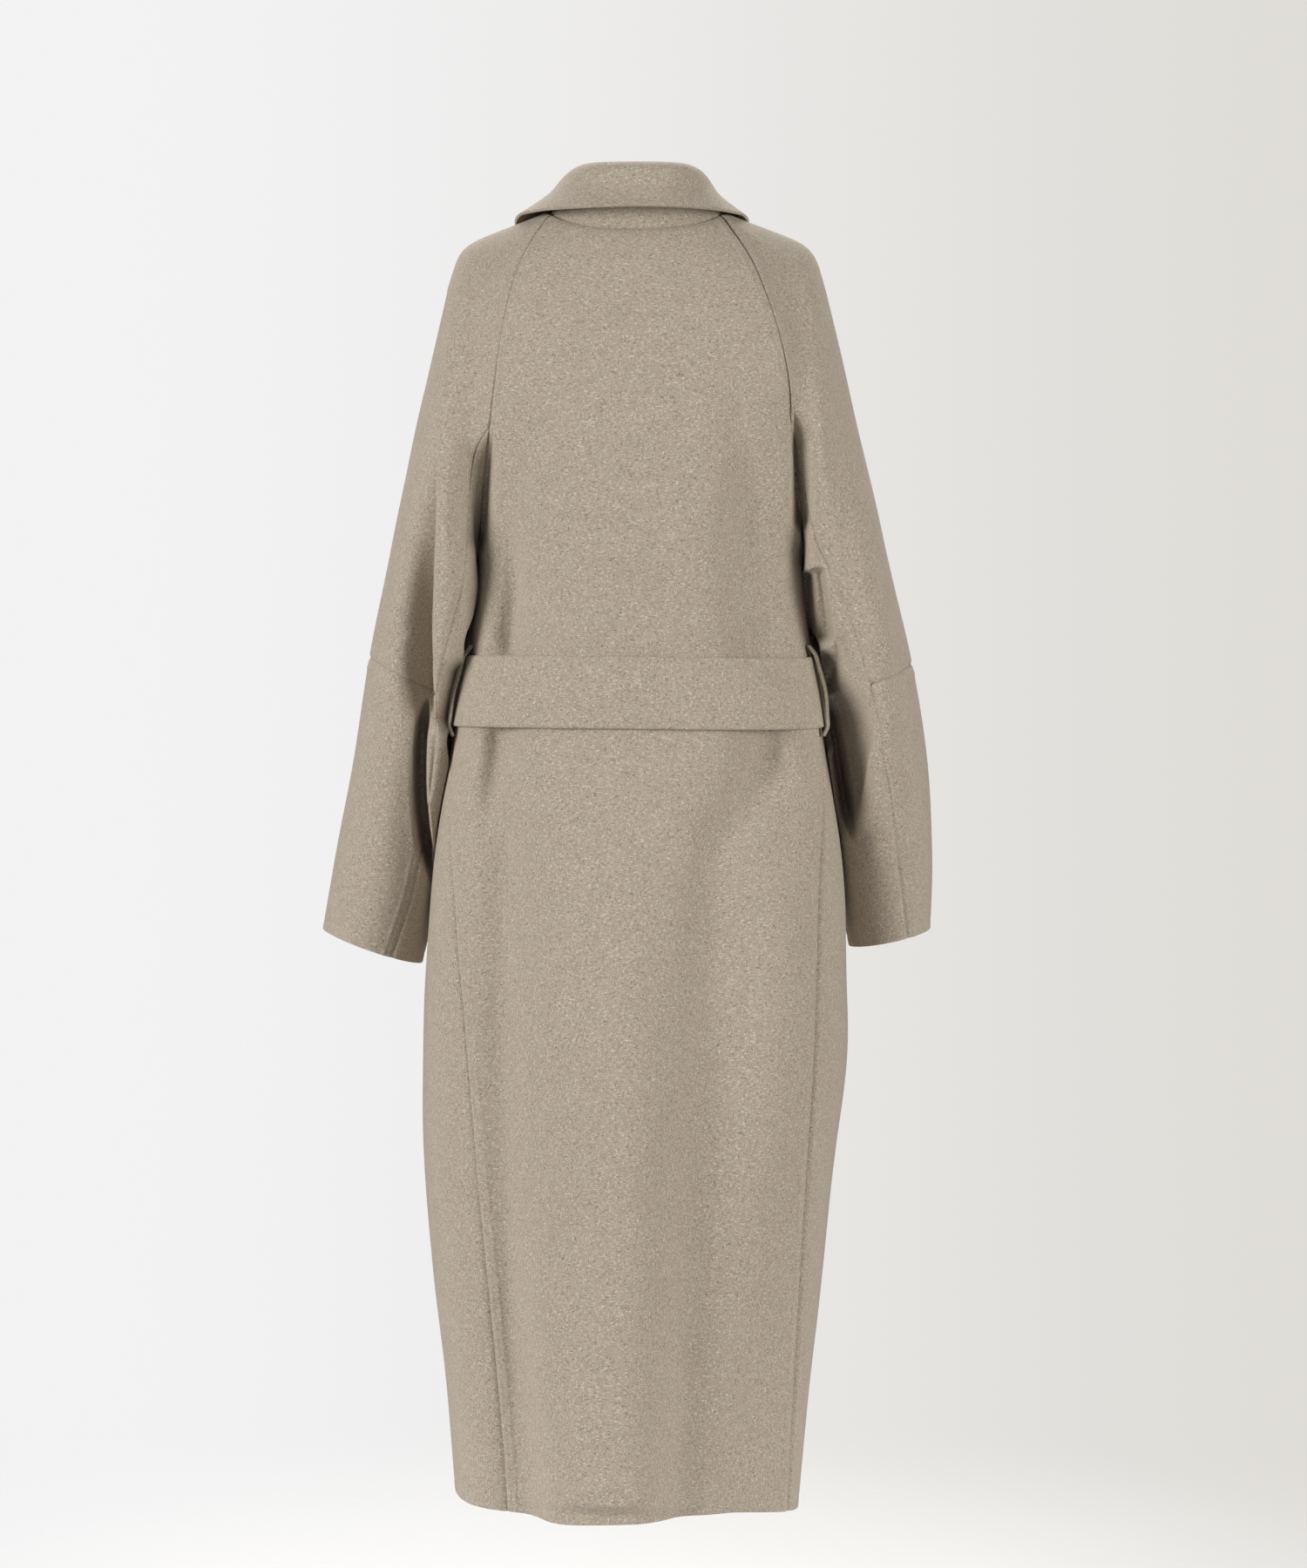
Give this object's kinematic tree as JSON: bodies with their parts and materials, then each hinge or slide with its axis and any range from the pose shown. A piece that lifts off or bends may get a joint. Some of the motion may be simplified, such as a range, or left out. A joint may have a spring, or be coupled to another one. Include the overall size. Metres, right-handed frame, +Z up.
{
  "type": "long belted coat",
  "caption": "Long wool coat with raglan sleeves, a turned-down collar and a tie belt held in side loops, hollow and in the form it has when worn.",
  "frame": {"origin": "middle of the neck opening, level with the points where shoulder and neck meet", "axes": "+Z up, -Y is the way the coat faces, +X is the wearer's left"},
  "size_m": [0.5813, 0.2984, 1.255],
  "materials": {
    "melange_wool": "matte double-faced wool, greige melange"
  },
  "bodies": {
    "root": {"back": "melange_wool", "front_left": "melange_wool", "front_right": "melange_wool", "sleeve_upper_left": "melange_wool", "sleeve_upper_right": "melange_wool", "sleeve_lower_left": "melange_wool", "sleeve_lower_right": "melange_wool", "sleeve_under_left": "melange_wool", "sleeve_under_right": "melange_wool", "collar": "melange_wool", "belt": "melange_wool", "belt_loop_left": "melange_wool", "belt_loop_right": "melange_wool", "belt_knot": "melange_wool", "belt_end_left": "melange_wool", "belt_end_right": "melange_wool"}
  },
  "joints": []
}
